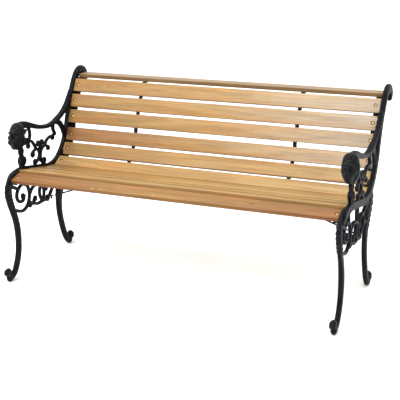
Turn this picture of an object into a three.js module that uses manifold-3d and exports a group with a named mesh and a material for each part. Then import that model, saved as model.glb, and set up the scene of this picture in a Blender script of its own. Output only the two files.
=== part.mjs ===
// Garden bench: two cast-iron end frames, twelve hardwood slats, two support straps and two stays.
// Millimetres, +Z up, +X along the bench, +Y towards the back. The origin lies on the ground, under
// the middle of the bench's outer box.
//
// Side-view places are written as [depth, height], with the depth measured back from the lowest
// point of the front feet. The whole bench is shifted forward by ORIGIN_DEPTH at the end.

import * as THREE from 'three';
import { mergeVertices } from 'three/addons/utils/BufferGeometryUtils.js';
import Module from 'manifold-3d';

const wasm = await Module();
wasm.setup();

// ---- Driving dimensions ------------------------------------------------------------------------

const ORIGIN_DEPTH = 324.1;
const CLEARANCE = 0.3;

const END_X = 620; // middle plane of each end casting
const RIM_THICKNESS = 15.5;
const RIM_OFFSET = 6.25; // the rail, the post and the arm stand this far outboard of the legs
const LEG_THICKNESS = 15;
const POST_SCROLL_THICKNESS = 19;
const POST_SCROLL_OFFSET = 8;
const ARM_THICKNESS = 23;
const SCROLL_THICKNESS = 11;
const LEAF_THICKNESS = 15;

const SLAT_WIDTH = 52;
const SLAT_THICKNESS = 14;
const SLAT_HALF_LENGTH = 618;
const SLAT_EASING = 2.5; // bevel along a slat's long edges
const SHARP_BEND = THREE.MathUtils.degToRad(20);

const LEDGE_WIDTH = 27; // from its inner edge to where it runs into the rail
const LEDGE_THICKNESS = 6;
const RAIL_UNDER_FACE = SLAT_THICKNESS + CLEARANCE + LEDGE_THICKNESS;

const BOLT_INSET = 17; // from the end of a slat to its bolt
const BOLT_HOLE_RADIUS = 3.7;
const COUNTERBORE_RADIUS = 7.2;
const COUNTERBORE_DEPTH = 4.5;
const BOLT_SHANK_RADIUS = 3;
const BOLT_HEAD_RADIUS = 6;
const BOLT_HEAD_HEIGHT = 3.2;
const BOLT_TAIL = 9; // how far a bolt stands out below the ledge
const BOLT_LENGTH = SLAT_THICKNESS - COUNTERBORE_DEPTH + LEDGE_THICKNESS + BOLT_TAIL;

const STRAP_X = 323;
const STRAP_WIDTH = 15;
const STRAP_THICKNESS = 4;

const STAY_RADIUS = 2.2;
const STAY_EYE_RADIUS = 8;
const STAY_EYE_THICKNESS = 3;
const STAY_BOLT_RADIUS = 2.5;
const STAY_BOLT_HEAD_RADIUS = 5;
const STAY_BOLT_HEAD_HEIGHT = 3;
const STAY_BOLT_LENGTH = 12.5;
const STAY_HOLE_RADIUS = 3;
const STAY_OUTER = [299, 241]; // the lug on the lower scrollwork
const LUG_REACH = 18; // from the casting's middle plane to the bolt in its lug
const LUG_END = 6.5; // from that bolt to the end of the lug
const LUG_SIZE = [18, 4]; // depth and height

const UNDER_GROUND = [100, 1000, 40]; // cut off below the soles of the feet
const STAY_ROD_START = 7; // from the middle of an eye to the end of the rod
const STAY_INNER_DEPTH = 297; // between two seat slats
const STAY_DROP = 3.6; // from the underside of the strap to the middle of the stay's eye

const ROUND_SIDES = 12;
const BOLT_SIDES = 6;
const KNOB_SIDES = 8;
const HOLE_SIDES = 6;
const MEMBER_STEP = 32; // spacing of the points along the outline of a leg, rail or arm
const SCROLL_STEP = 17; // and along the finer scrollwork

// Slats from the front nosing over the seat and up the back: [name, depth and height of the middle
// of the face, tilt in degrees, how far the casting's rim stands above the face]. A positive tilt
// rises towards the back.
const SLATS = [
  ['nosing_slat', 84.5, 386, 16, 9],
  ['seat_slat_1', 147, 394.2, -10, 8],
  ['seat_slat_2', 207, 383.5, -12, 7],
  ['seat_slat_3', 267, 371.5, -11.5, 7],
  ['seat_slat_4', 327, 359.5, -7, 7],
  ['seat_slat_5', 385.4, 365.7, 25, 7],
  ['back_slat_1', 434.8, 402.5, 51, 7],
  ['back_slat_2', 469, 453.2, 63, 6],
  ['back_slat_3', 494.9, 518.6, 67.5, 4],
  ['back_slat_4', 519.8, 576.5, 65.5, 4],
  ['back_slat_5', 553, 632.5, 60, 4],
  ['top_slat', 617.5, 667, 0.5, 0],
];

// ---- Casting strokes ---------------------------------------------------------------------------
// Each stroke is a smooth line of [depth, height, width]. The width eases from point to point.

const FRONT_LEG = [
  [110, 386, 26], [78, 381, 30], [53, 359, 36], [45, 331, 36], [51, 297, 32], [63, 261, 29],
  [76, 221, 27], [83, 179, 25], [83, 137, 24], [77, 95, 23], [61, 54, 23], [39, 24, 23],
  [17, 14, 24],
];
const FRONT_FOOT = [[8, 16, 18.5], [0, 38, 17]];

const REAR_LEG = [
  [419, 387, 28], [434, 347, 42], [432, 314, 48], [408, 278, 42], [388, 242, 33], [377, 197, 27],
  [378, 148, 25], [388, 98, 23.5], [402, 54, 23], [416, 27, 23], [427, 14, 24],
];
const REAR_FOOT = [[435, 15, 18.5], [445, 33, 17]];

const TOP_SCROLL = [
  [546, 615, 24], [567, 646, 28], [592, 672, 32], [617, 681, 33], [640, 674, 32], [652, 657, 30],
  [646, 643, 26],
];

const ARM = [
  [140, 547, 35], [163, 555, 27], [198, 551, 21], [232, 540, 18], [272, 526, 17], [311, 517, 17],
  [350, 512, 17], [390, 516, 17], [424, 526, 17],
];
const ARM_ROOT = [
  [400, 519, 17], [434, 528, 19], [467, 543, 20], [496, 565, 20], [522, 593, 20], [539, 612, 20],
];

// Scrollwork between the arm and the seat rail.
const UPPER_SCROLLS = [
  [[200, 550, 9.5], [215, 536, 10.5], [223, 516, 11.5], [218, 496, 10.5], [202, 486, 10.5], [180, 484, 13]],
  [[206, 468, 10.5], [208, 478, 10.5], [210, 492, 10.5]],
  [[208, 488, 10.5], [230, 480, 10.5], [245, 463, 10.5], [257, 445, 10.5], [268, 439, 10.5]],
  [[272, 439, 10.5], [251, 443, 9.5], [231, 436, 10.5]],
  [[268, 440, 10.5], [277, 421, 10.5], [268, 403, 10.5], [246, 392, 11.5]],
  [[282, 391, 12], [282, 418, 11.5], [285, 448, 11.5]],
  [[273, 461, 11.5], [285, 451, 11.5], [298, 460, 11.5]],
  [[282, 417, 10.5], [292, 433, 10.5], [312, 441, 9.5], [331, 437, 9.5], [340, 425, 9.5]],
  [[316, 441, 9.5], [330, 457, 9.5], [352, 466, 9.5], [375, 466, 9.5], [395, 469, 11.5]],
  [[387, 514, 17], [383, 492, 15], [393, 472, 11.5]],
  [[407, 513, 19], [425, 491, 21], [442, 465, 19], [464, 427, 16]],
  [[282, 397, 11.5], [293, 383, 13], [305, 371, 13]],
];
const UPPER_KNOBS = [
  [206, 468, 10], [231, 428, 11], [243, 396, 11], [273, 461, 11], [298, 460, 11], [339, 427, 10],
  [375, 459, 10], [305, 386, 12],
];

// Scrollwork between the seat rail and the legs.
const LOWER_SCROLLS = [
  [[59, 355, 13], [81, 344, 12], [103, 332, 10.5]],
  [[68, 263, 11.5], [100, 246, 10.5], [129, 239, 10.5], [157, 248, 10.5], [175, 272, 10.5], [178, 300, 10.5],
    [165, 328, 10.5], [138, 339, 9.5], [113, 331, 10.5], [97, 311, 10.5], [99, 291, 10.5], [116, 277, 10.5],
    [136, 279, 10.5], [144, 294, 9.5]],
  [[153, 388, 12], [153, 360, 10.5], [156, 332, 10.5]],
  [[171, 260, 11.5], [180, 286, 10.5], [199, 305, 9.5], [227, 310, 9.5], [253, 301, 10.5]],
  [[263, 303, 9.5], [249, 285, 9.5], [248, 260, 9.5], [260, 239, 9.5]],
  [[261, 303, 9.5], [276, 283, 9.5], [275, 255, 9.5], [262, 239, 9.5]],
  [[177, 250, 12], [202, 244, 10.5], [228, 235, 10.5], [258, 235, 10.5], [299, 235, 11.5], [321, 249, 10.5],
    [341, 265, 10.5], [384, 266, 13]],
  [[206, 244, 9.5], [204, 254, 9.5], [213, 262, 9.5]],
  [[321, 251, 9.5], [343, 273, 9.5], [345, 295, 9.5], [326, 309, 9.5], [302, 303, 9.5], [290, 285, 9.5]],
  [[263, 369, 15], [263, 335, 21], [262, 301, 10.5]],
  [[337, 303, 10.5], [361, 314, 11.5], [399, 326, 15]],
];
const LOWER_KNOBS = [
  [135, 294, 10], [178, 248, 12], [214, 260, 10], [292, 277, 10], [299, 235, 12],
];

// Lion's head on the front of the arm: mane, crown and muzzle, as [outboard, depth, height, half
// thickness, half depth, half height].
const LION_MASSES = [
  [7, 143, 513, 31, 29, 43],
  [6, 147, 546, 25, 25, 27],
  [7, 121, 509, 17, 17, 20],
];
// Bud column under the head: [radius, height] from the rail up to the chin.
const COLUMN_DEPTH = 156;
const COLUMN_FLATNESS = 0.6; // the column's thickness along X, as a share of its width
const COLUMN_PROFILE = [
  [12, 396], [14, 410], [17, 423], [14.5, 436], [9, 445], [12, 456], [11.5, 467], [8, 476],
  [10, 486], [13, 500],
];

// ---- Materials ---------------------------------------------------------------------------------

function material(color, roughness, metalness) {
  return new THREE.MeshStandardMaterial({ color, roughness, metalness });
}

const ironMaterial = () => material(0x23262b, 0.5, 0.35);
const woodMaterial = () => material(0xcfa36c, 0.45, 0);
const brassMaterial = () => material(0xb9975a, 0.3, 0.9);

// ---- Solids ------------------------------------------------------------------------------------

function toSolid(geometry) {
  const bare = geometry.clone();
  bare.deleteAttribute('normal');
  bare.deleteAttribute('uv');
  const merged = mergeVertices(bare, 1e-4);
  const mesh = new wasm.Mesh({
    numProp: 3,
    vertProperties: new Float32Array(merged.attributes.position.array),
    triVerts: new Uint32Array(merged.index.array),
  });
  return new wasm.Manifold(mesh);
}

function toGeometry(solid) {
  const mesh = solid.getMesh();
  const geometry = new THREE.BufferGeometry();
  geometry.setAttribute('position', new THREE.BufferAttribute(mesh.vertProperties, 3));
  geometry.setIndex(new THREE.BufferAttribute(mesh.triVerts, 1));
  geometry.computeVertexNormals();
  return geometry;
}

function unite(solids) {
  return solids.reduce((whole, solid) => whole.add(solid));
}

// Extrudes a side-view outline, given in depth and height, by a thickness centred on x.
function extrudeSideways(outline, thickness, x = 0) {
  const geometry = new THREE.ExtrudeGeometry(new THREE.Shape(outline), {
    depth: thickness,
    bevelEnabled: false,
  });
  geometry.translate(0, 0, -thickness / 2);
  geometry.rotateX(Math.PI / 2);
  geometry.rotateZ(Math.PI / 2);
  geometry.translate(x, 0, 0);
  return geometry;
}

// A round bar along X.
function barAlongX(radius, length, x, depth, height, sides = ROUND_SIDES) {
  const geometry = new THREE.CylinderGeometry(radius, radius, length, sides);
  geometry.rotateZ(Math.PI / 2);
  geometry.translate(x, depth, height);
  return geometry;
}

// A round bar standing upright.
function uprightBar(radius, length, x, depth, height, sides = ROUND_SIDES) {
  const geometry = new THREE.CylinderGeometry(radius, radius, length, sides);
  geometry.rotateX(Math.PI / 2);
  geometry.translate(x, depth, height);
  return geometry;
}

// The outline of a stroke: both sides of its smooth line, with a round cap at each end.
function strokeOutline(points, step) {
  const line = new THREE.CatmullRomCurve3(
    points.map(([depth, height, width]) => new THREE.Vector3(depth, height, width)),
    false,
    'centripetal',
  );
  const count = Math.max(4, Math.round(line.getLength() / step));
  const left = [];
  const right = [];
  for (let i = 0; i <= count; i += 1) {
    const place = line.getPoint(i / count);
    const along = line.getTangent(i / count);
    const normal = new THREE.Vector2(-along.y, along.x).normalize();
    const half = place.z / 2;
    left.push(new THREE.Vector2(place.x + normal.x * half, place.y + normal.y * half));
    right.push(new THREE.Vector2(place.x - normal.x * half, place.y - normal.y * half));
  }
  const cap = (from, to) => {
    const centre = from.clone().add(to).multiplyScalar(0.5);
    const arm = from.clone().sub(centre);
    return [1, 2].map((k) => arm.clone().rotateAround(new THREE.Vector2(), (-k * Math.PI) / 3)
      .add(centre));
  };
  return [
    ...left,
    ...cap(left[count], right[count]),
    ...right.reverse(),
    ...cap(right[count], left[0]),
  ];
}

function stroke(points, thickness, step, x = 0) {
  return toSolid(extrudeSideways(strokeOutline(points, step), thickness, x));
}

function knob([depth, height, radius], thickness, x = 0, sides = KNOB_SIDES) {
  return toSolid(barAlongX(radius, thickness, x, depth, height, sides));
}

function ellipsoid([outboard, depth, height, halfThickness, halfDepth, halfHeight], outward) {
  const geometry = new THREE.SphereGeometry(1, 12, 8);
  geometry.rotateX(Math.PI / 2);
  geometry.scale(halfThickness, halfDepth, halfHeight);
  geometry.translate(outward * outboard, depth, height);
  return toSolid(geometry);
}

// ---- Slats -------------------------------------------------------------------------------------

function slatFrame([, depth, height, tilt]) {
  const angle = THREE.MathUtils.degToRad(tilt);
  const along = new THREE.Vector2(Math.cos(angle), Math.sin(angle));
  const up = new THREE.Vector2(-along.y, along.x);
  const centre = new THREE.Vector2(depth, height);
  const at = (forward, above) => centre.clone()
    .addScaledVector(along, forward)
    .addScaledVector(up, above);
  return { angle, along, up, at };
}

// Where two neighbouring slats' lines, a distance below their faces, meet or follow each other.
// On the inside of a sharp bend the lines cross, so they meet in one point.
function cornersBetween(slat, next, below) {
  const half = SLAT_WIDTH / 2;
  const here = slatFrame(slat);
  const there = slatFrame(next);
  const bend = here.angle - there.angle;
  const from = here.at(half, -below);
  const to = there.at(-half, -below);
  if (bend < SHARP_BEND) {
    return [from, to];
  }
  const across = there.up.dot(to.clone().sub(from)) / there.up.dot(here.along);
  return [from.addScaledVector(here.along, across)];
}

// The line that follows the whole row of slats at a distance below their faces.
function lineBelowSlats(below) {
  const half = SLAT_WIDTH / 2;
  const line = [slatFrame(SLATS[0]).at(-half, -below)];
  for (let i = 1; i < SLATS.length; i += 1) {
    line.push(...cornersBetween(SLATS[i - 1], SLATS[i], below));
  }
  line.push(slatFrame(SLATS.at(-1)).at(half, -below));
  return line;
}

function bandBelowSlats(top, thickness, width, x) {
  const upper = lineBelowSlats(top);
  const lower = lineBelowSlats(top + thickness);
  return extrudeSideways([...upper, ...lower.reverse()], width, x);
}

function boltHole(slat, x, radius, length, middle) {
  const { angle, at } = slatFrame(slat);
  const place = at(0, middle);
  const geometry = new THREE.CylinderGeometry(radius, radius, length, HOLE_SIDES);
  geometry.rotateX(Math.PI / 2 + angle);
  geometry.translate(x, place.x, place.y);
  return toSolid(geometry);
}

const BOLT_X = SLAT_HALF_LENGTH - BOLT_INSET;

// The room a slat needs in an end casting, seen from the casting's own middle plane.
function slatRoom(slat, inward) {
  const { at } = slatFrame(slat);
  const edge = SLAT_WIDTH / 2 + CLEARANCE;
  const under = -SLAT_THICKNESS - CLEARANCE / 2;
  const outline = [at(-edge, under), at(edge, under), at(edge, CLEARANCE), at(-edge, CLEARANCE)];
  const endGap = END_X - SLAT_HALF_LENGTH - CLEARANCE;
  const length = 2 * LEDGE_WIDTH;
  return toSolid(extrudeSideways(outline, length, inward * (endGap + length / 2)));
}

function slatMesh(slat) {
  const { at } = slatFrame(slat);
  const edge = SLAT_WIDTH / 2;
  const outline = [
    at(-edge, -SLAT_THICKNESS + SLAT_EASING), at(-edge + SLAT_EASING, -SLAT_THICKNESS),
    at(edge - SLAT_EASING, -SLAT_THICKNESS), at(edge, -SLAT_THICKNESS + SLAT_EASING),
    at(edge, -SLAT_EASING), at(edge - SLAT_EASING, 0),
    at(-edge + SLAT_EASING, 0), at(-edge, -SLAT_EASING),
  ];
  let solid = toSolid(extrudeSideways(outline, 2 * SLAT_HALF_LENGTH));
  for (const x of [-BOLT_X, BOLT_X]) {
    const through = boltHole(slat, x, BOLT_HOLE_RADIUS, 3 * SLAT_THICKNESS, -SLAT_THICKNESS / 2);
    const counterbore = boltHole(slat, x, COUNTERBORE_RADIUS, 2 * COUNTERBORE_DEPTH, 0);
    solid = solid.subtract(through).subtract(counterbore);
  }
  const mesh = new THREE.Mesh(toGeometry(solid), woodMaterial());
  mesh.name = slat[0];
  return mesh;
}

// A coach bolt: a low domed head and a plain shank, with its axis along local Y.
function boltGeometry(headRadius, headHeight, shankRadius, length) {
  const profile = [
    [0, -length], [shankRadius, -length], [shankRadius, 0],
    [headRadius, 0], [headRadius * 0.6, headHeight], [0, headHeight],
  ].map(([radius, height]) => new THREE.Vector2(radius, height));
  return new THREE.LatheGeometry(profile, BOLT_SIDES);
}

function slatBoltMesh(slat, side) {
  const { angle, at } = slatFrame(slat);
  const seat = at(0, -COUNTERBORE_DEPTH + CLEARANCE);
  const geometry = boltGeometry(BOLT_HEAD_RADIUS, BOLT_HEAD_HEIGHT, BOLT_SHANK_RADIUS, BOLT_LENGTH);
  const mesh = new THREE.Mesh(geometry, brassMaterial());
  mesh.rotation.x = Math.PI / 2 + angle;
  mesh.position.set(side * BOLT_X, seat.x, seat.y);
  mesh.name = `${slat[0]}_bolt_${side < 0 ? 'left' : 'right'}`;
  return mesh;
}

// ---- End castings ------------------------------------------------------------------------------

function railStroke(x) {
  const points = SLATS.slice(0, -1).map((slat) => {
    const rimAboveFace = slat.at(-1);
    const place = slatFrame(slat).at(0, (rimAboveFace - RAIL_UNDER_FACE) / 2);
    return [place.x, place.y, rimAboveFace + RAIL_UNDER_FACE];
  });
  return stroke(points, RIM_THICKNESS, MEMBER_STEP, x);
}

function lionHead(outward) {
  return unite(LION_MASSES.map((mass) => ellipsoid(mass, outward)));
}

function budColumn(x) {
  const profile = [[0, COLUMN_PROFILE[0][1]], ...COLUMN_PROFILE, [0, COLUMN_PROFILE.at(-1)[1]]]
    .map(([radius, height]) => new THREE.Vector2(radius, height));
  const geometry = new THREE.LatheGeometry(profile, ROUND_SIDES);
  geometry.rotateX(Math.PI / 2);
  geometry.scale(COLUMN_FLATNESS, 1, 1);
  geometry.translate(x, COLUMN_DEPTH, 0);
  return toSolid(geometry);
}

// The lug that a stay is bolted to.
function stayLug(inward) {
  const [depth, height] = STAY_OUTER;
  const length = LUG_REACH + LUG_END;
  const geometry = new THREE.BoxGeometry(length, ...LUG_SIZE);
  geometry.translate((inward * length) / 2, depth, height);
  return toSolid(geometry);
}

// One end frame about its own middle plane. inward is +1 where the slats lie towards +X.
function endCasting(inward) {
  const rimX = -inward * RIM_OFFSET;
  const ledgeX = inward * (LEDGE_WIDTH / 2);
  const ledgeTop = SLAT_THICKNESS + CLEARANCE;
  let solid = unite([
    stroke(FRONT_LEG, LEG_THICKNESS, MEMBER_STEP),
    stroke(REAR_LEG, LEG_THICKNESS, MEMBER_STEP),
    ...[...FRONT_FOOT, ...REAR_FOOT].map((place) => knob(place, LEG_THICKNESS, 0, ROUND_SIDES)),
    railStroke(rimX),
    stroke(TOP_SCROLL, POST_SCROLL_THICKNESS, MEMBER_STEP, -inward * POST_SCROLL_OFFSET),
    stroke(ARM, ARM_THICKNESS, MEMBER_STEP, rimX),
    stroke(ARM_ROOT, LEG_THICKNESS, MEMBER_STEP, rimX),
    ...UPPER_SCROLLS.map((points) => stroke(points, SCROLL_THICKNESS, SCROLL_STEP, rimX)),
    ...LOWER_SCROLLS.map((points) => stroke(points, SCROLL_THICKNESS, SCROLL_STEP)),
    ...UPPER_KNOBS.map((place) => knob(place, LEAF_THICKNESS, rimX)),
    ...LOWER_KNOBS.map((place) => knob(place, LEAF_THICKNESS)),
    lionHead(-inward),
    budColumn(rimX),
    stayLug(inward),
    toSolid(bandBelowSlats(ledgeTop, LEDGE_THICKNESS, LEDGE_WIDTH, ledgeX)),
  ]);
  const boltX = inward * (END_X - BOLT_X);
  for (const slat of SLATS) {
    solid = solid.subtract(slatRoom(slat, inward));
    solid = solid.subtract(boltHole(slat, boltX, BOLT_HOLE_RADIUS, 4 * LEDGE_THICKNESS, -ledgeTop));
  }
  const stayHole = uprightBar(STAY_HOLE_RADIUS, 4 * LUG_SIZE[1], inward * LUG_REACH, ...STAY_OUTER);
  const underGround = new THREE.BoxGeometry(...UNDER_GROUND);
  underGround.translate(0, ORIGIN_DEPTH, -UNDER_GROUND[2] / 2);
  return solid.subtract(toSolid(stayHole)).subtract(toSolid(underGround));
}

function endCastingMesh(side) {
  const mesh = new THREE.Mesh(toGeometry(endCasting(-side)), ironMaterial());
  mesh.position.x = side * END_X;
  mesh.name = side < 0 ? 'end_casting_left' : 'end_casting_right';
  return mesh;
}

// ---- Straps and stays --------------------------------------------------------------------------

function strapMesh(side) {
  const top = SLAT_THICKNESS + CLEARANCE;
  const x = side * STRAP_X;
  const band = toSolid(bandBelowSlats(top, STRAP_THICKNESS, STRAP_WIDTH, x));
  const height = strapHeightAtStay();
  const hole = uprightBar(STAY_HOLE_RADIUS, 8 * STRAP_THICKNESS, x, STAY_INNER_DEPTH, height);
  const mesh = new THREE.Mesh(toGeometry(band.subtract(toSolid(hole))), ironMaterial());
  mesh.name = side < 0 ? 'support_strap_left' : 'support_strap_right';
  return mesh;
}

// Height of the underside of the strap where the stay is bolted to it.
function strapHeightAtStay() {
  const line = lineBelowSlats(SLAT_THICKNESS + CLEARANCE + STRAP_THICKNESS);
  const next = line.findIndex((point) => point.x > STAY_INNER_DEPTH);
  const [a, b] = [line[next - 1], line[next]];
  return THREE.MathUtils.mapLinear(STAY_INNER_DEPTH, a.x, b.x, a.y, b.y);
}

// The middles of a stay's two flat eyes: on the casting's lug and under the strap.
function stayEnds(side) {
  const [depth, height] = STAY_OUTER;
  const outerHeight = height + LUG_SIZE[1] / 2 + CLEARANCE + STAY_EYE_THICKNESS / 2;
  const innerHeight = strapHeightAtStay() - STAY_DROP;
  return [
    new THREE.Vector3(side * (END_X - LUG_REACH), depth, outerHeight),
    new THREE.Vector3(side * STRAP_X, STAY_INNER_DEPTH, innerHeight),
  ];
}

function stayMesh(side) {
  const [outer, inner] = stayEnds(side);
  const along = inner.clone().sub(outer).normalize();
  const rodStart = outer.clone().addScaledVector(along, STAY_ROD_START);
  const rodEnd = inner.clone().addScaledVector(along, -STAY_ROD_START);
  let solid = toSolid(new THREE.ExtrudeGeometry(
    new THREE.Shape().absarc(0, 0, STAY_RADIUS, 0, 2 * Math.PI),
    { steps: 1, curveSegments: 8, extrudePath: new THREE.LineCurve3(rodStart, rodEnd) },
  ));
  for (const { x, y, z } of [outer, inner]) {
    solid = solid.add(toSolid(uprightBar(STAY_EYE_RADIUS, STAY_EYE_THICKNESS, x, y, z)));
  }
  for (const { x, y, z } of [outer, inner]) {
    const hole = uprightBar(STAY_HOLE_RADIUS, 4 * STAY_EYE_THICKNESS, x, y, z);
    solid = solid.subtract(toSolid(hole));
  }
  const mesh = new THREE.Mesh(toGeometry(solid), ironMaterial());
  mesh.name = side < 0 ? 'stay_left' : 'stay_right';
  return mesh;
}

// The outer bolt goes down through the eye and the lug, the inner one up through eye and strap.
function stayBoltMeshes(side) {
  const ends = stayEnds(side);
  return ends.map((end, i) => {
    const up = i === 0 ? 1 : -1;
    const geometry = boltGeometry(
      STAY_BOLT_HEAD_RADIUS,
      STAY_BOLT_HEAD_HEIGHT,
      STAY_BOLT_RADIUS,
      STAY_BOLT_LENGTH,
    );
    const mesh = new THREE.Mesh(geometry, ironMaterial());
    mesh.rotation.x = (up * Math.PI) / 2;
    mesh.position.set(end.x, end.y, end.z + up * (STAY_EYE_THICKNESS / 2 + CLEARANCE));
    mesh.name = `stay_bolt_${i === 0 ? 'outer' : 'inner'}_${side < 0 ? 'left' : 'right'}`;
    return mesh;
  });
}

// ---- Assembly ----------------------------------------------------------------------------------

const bench = new THREE.Group();
bench.name = 'garden_bench';
bench.position.y = -ORIGIN_DEPTH;

for (const side of [-1, 1]) {
  bench.add(endCastingMesh(side));
  bench.add(strapMesh(side));
  bench.add(stayMesh(side));
  bench.add(...stayBoltMeshes(side));
}
for (const slat of SLATS) {
  bench.add(slatMesh(slat));
  for (const side of [-1, 1]) {
    bench.add(slatBoltMesh(slat, side));
  }
}

export default bench;
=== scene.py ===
"""Garden bench with cast-iron ends and hardwood slats, dressed around its CAD frame.

Places inside an end casting are in millimetres: out (away from the bench's middle, from the casting's
own middle plane), depth (back from the lowest point of the front feet) and height above the ground.
Everything handed to Blender is in metres in the frame's own axes: +X along the bench, +Y to the back.
"""
import math

import bmesh
import bpy
import numpy as np
from mathutils import Matrix, Vector


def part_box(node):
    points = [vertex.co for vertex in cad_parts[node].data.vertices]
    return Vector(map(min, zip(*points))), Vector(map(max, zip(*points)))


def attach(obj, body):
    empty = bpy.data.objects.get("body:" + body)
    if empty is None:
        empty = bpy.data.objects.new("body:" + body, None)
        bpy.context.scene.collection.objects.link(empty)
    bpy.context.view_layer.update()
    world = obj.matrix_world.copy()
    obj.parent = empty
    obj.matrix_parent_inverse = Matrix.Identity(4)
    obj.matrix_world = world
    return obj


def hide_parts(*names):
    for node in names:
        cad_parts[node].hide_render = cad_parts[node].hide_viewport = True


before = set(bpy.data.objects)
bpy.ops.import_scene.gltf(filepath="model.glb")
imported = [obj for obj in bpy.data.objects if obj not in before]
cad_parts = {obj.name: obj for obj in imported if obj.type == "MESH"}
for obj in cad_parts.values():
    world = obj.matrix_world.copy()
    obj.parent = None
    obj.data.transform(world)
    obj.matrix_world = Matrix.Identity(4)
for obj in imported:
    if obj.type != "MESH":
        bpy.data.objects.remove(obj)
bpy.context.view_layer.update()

MM = 0.001
SIDES = ("left", "right")
SLAT_NAMES = (
    ["nosing_slat"]
    + [f"seat_slat_{i}" for i in range(1, 6)]
    + [f"back_slat_{i}" for i in range(1, 6)]
    + ["top_slat"]
)

# ---- Places taken from the frame ---------------------------------------------------------------

FRONT_FOOT_REACH = 17.0  # the front foot's scroll stands this far ahead of depth 0
CASTING_LOW, CASTING_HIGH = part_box("end_casting_right")
HEAD_REACH = 38.0  # the lion's mane stands this far outboard of the casting's middle plane
END_X = CASTING_HIGH.x / MM - HEAD_REACH
DEPTH_ZERO = CASTING_LOW.y / MM + FRONT_FOOT_REACH


class SlatPlace:
    """A slat's middle, tilt, width and thickness in millimetres, measured on its CAD node."""

    def __init__(self, name):
        points = np.array([v.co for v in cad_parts[name].data.vertices]) / MM
        section = points[:, 1:]
        middle = (section.max(0) + section.min(0)) / 2
        _, axes = np.linalg.eigh(np.cov((section - middle).T))
        along = axes[:, 1] * (1 if axes[0, 1] > 0 else -1)
        up = np.array([-along[1], along[0]])
        width, height = section @ along, section @ up
        self.name = name
        self.along, self.up = along, up
        self.tilt = math.atan2(along[1], along[0])
        self.width = width.max() - width.min()
        self.thickness = height.max() - height.min()
        self.half_length = points[:, 0].max()
        self.face = along * (width.max() + width.min()) / 2 + up * height.max()

    def at(self, forward, above):
        """A point of the section, from the middle of the face, as row depth (Y) and height (Z)."""
        return self.face + self.along * forward + self.up * above


SLATS = [SlatPlace(name) for name in SLAT_NAMES]
SLAT_WIDTH = SLATS[0].width
SLAT_THICKNESS = SLATS[0].thickness
SLAT_HALF_LENGTH = SLATS[0].half_length
BOLT_X = sum(v.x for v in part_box("nosing_slat_bolt_right")) / 2 / MM

# ---- Sizes -------------------------------------------------------------------------------------

CAST_VOXEL = 1.5
HEAD_VOXEL = 0.9
ROOM = 0.5  # air between the slats and an end casting
RIM_OUT = 6.25  # the rail, the post and the arm stand this far outboard of the legs
RIM_THICKNESS = 15.5
RIM_ABOVE_SLATS = (10, 9, 8.5, 8.5, 8.5, 8, 7, 6, 4, 4, 4)
LEDGE_THICKNESS = 6.0
LEDGE_REACH = 27.0
LEG_THICKNESS = 18.5
ARM_THICKNESS = 23.0
SCROLL_THICKNESS = 13.0

# ---- Casting lines -----------------------------------------------------------------------------

# Each line is a list of [depth, height, width]. A fourth value is the stroke's own thickness there.

FRONT_LEG = [
    [110, 386, 28, 17], [78, 381, 32, 16], [53, 359, 37, 15], [45, 331, 37, 14.5], [51, 297, 33, 14.5],
    [63, 261, 31, 15.5], [76, 221, 29, 17], [83, 179, 28, 18.5], [83, 137, 27, 18.5], [77, 95, 26, 18.5],
    [61, 54, 26, 18.5], [39, 24, 25, 18.5], [17, 14, 25, 18.5],
]
REAR_LEG = [
    [419, 387, 30, 16], [434, 347, 50, 15], [430, 314, 62, 15], [407, 280, 61, 15.5], [389, 245, 51, 16.5],
    [378, 199, 36, 18], [378, 148, 29, 18.5], [388, 98, 26.5, 18.5], [402, 54, 26, 18.5],
    [416, 27, 25, 18.5], [427, 14, 25, 18.5],
]
FEET = [[8, 16, 16.5], [0, 38, 17], [435, 15, 16.5], [445, 33, 17]]
POST_SCROLL = [
    [546, 615, 24], [567, 646, 28], [592, 672, 32], [617, 681, 33], [640, 674, 32], [652, 657, 30],
    [646, 643, 26],
]
ARM = [
    [140, 548, 38], [163, 556, 32], [198, 552.5, 26], [232, 541.5, 21], [272, 527, 18.5], [311, 517, 17],
    [350, 512, 17], [390, 516, 17], [424, 526, 17],
]
ARM_ROOT = [
    [400, 519, 17], [434, 528, 19], [467, 543, 20], [496, 565, 20], [522, 593, 20], [539, 612, 20],
]
UPPER_SCROLLS = [
    [[200, 550, 11], [215, 536, 12], [223, 516, 13], [218, 496, 12], [202, 486, 12], [180, 484, 14.5]],
    [[206, 468, 12], [208, 478, 12], [210, 492, 12]],
    [[208, 488, 12], [230, 480, 12], [245, 463, 12], [257, 445, 12], [268, 439, 12]],
    [[272, 439, 12], [251, 443, 11], [231, 436, 12]],
    [[268, 440, 12], [277, 421, 12], [268, 403, 12], [246, 392, 13]],
    [[282, 391, 13.5], [282, 418, 13], [285, 448, 13]],
    [[273, 461, 13], [285, 451, 13], [298, 460, 13]],
    [[282, 417, 12], [292, 433, 12], [312, 441, 11], [331, 437, 11], [340, 425, 11]],
    [[316, 441, 11], [330, 457, 11], [352, 466, 11], [375, 466, 11], [395, 469, 13]],
    [[387, 514, 18.5], [383, 492, 16.5], [393, 472, 13]],
    [[404, 515, 18], [432, 503, 24], [451, 478, 24], [461, 448, 20], [466, 424, 17]],
    [[282, 397, 13], [293, 383, 14.5], [305, 371, 14.5]],
]
UPPER_KNOBS = [
    [206, 468, 11.5], [231, 428, 12.5], [243, 396, 12.5], [273, 461, 12.5], [298, 460, 12.5],
    [339, 427, 11.5], [375, 459, 11.5], [305, 386, 13.5],
]
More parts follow.
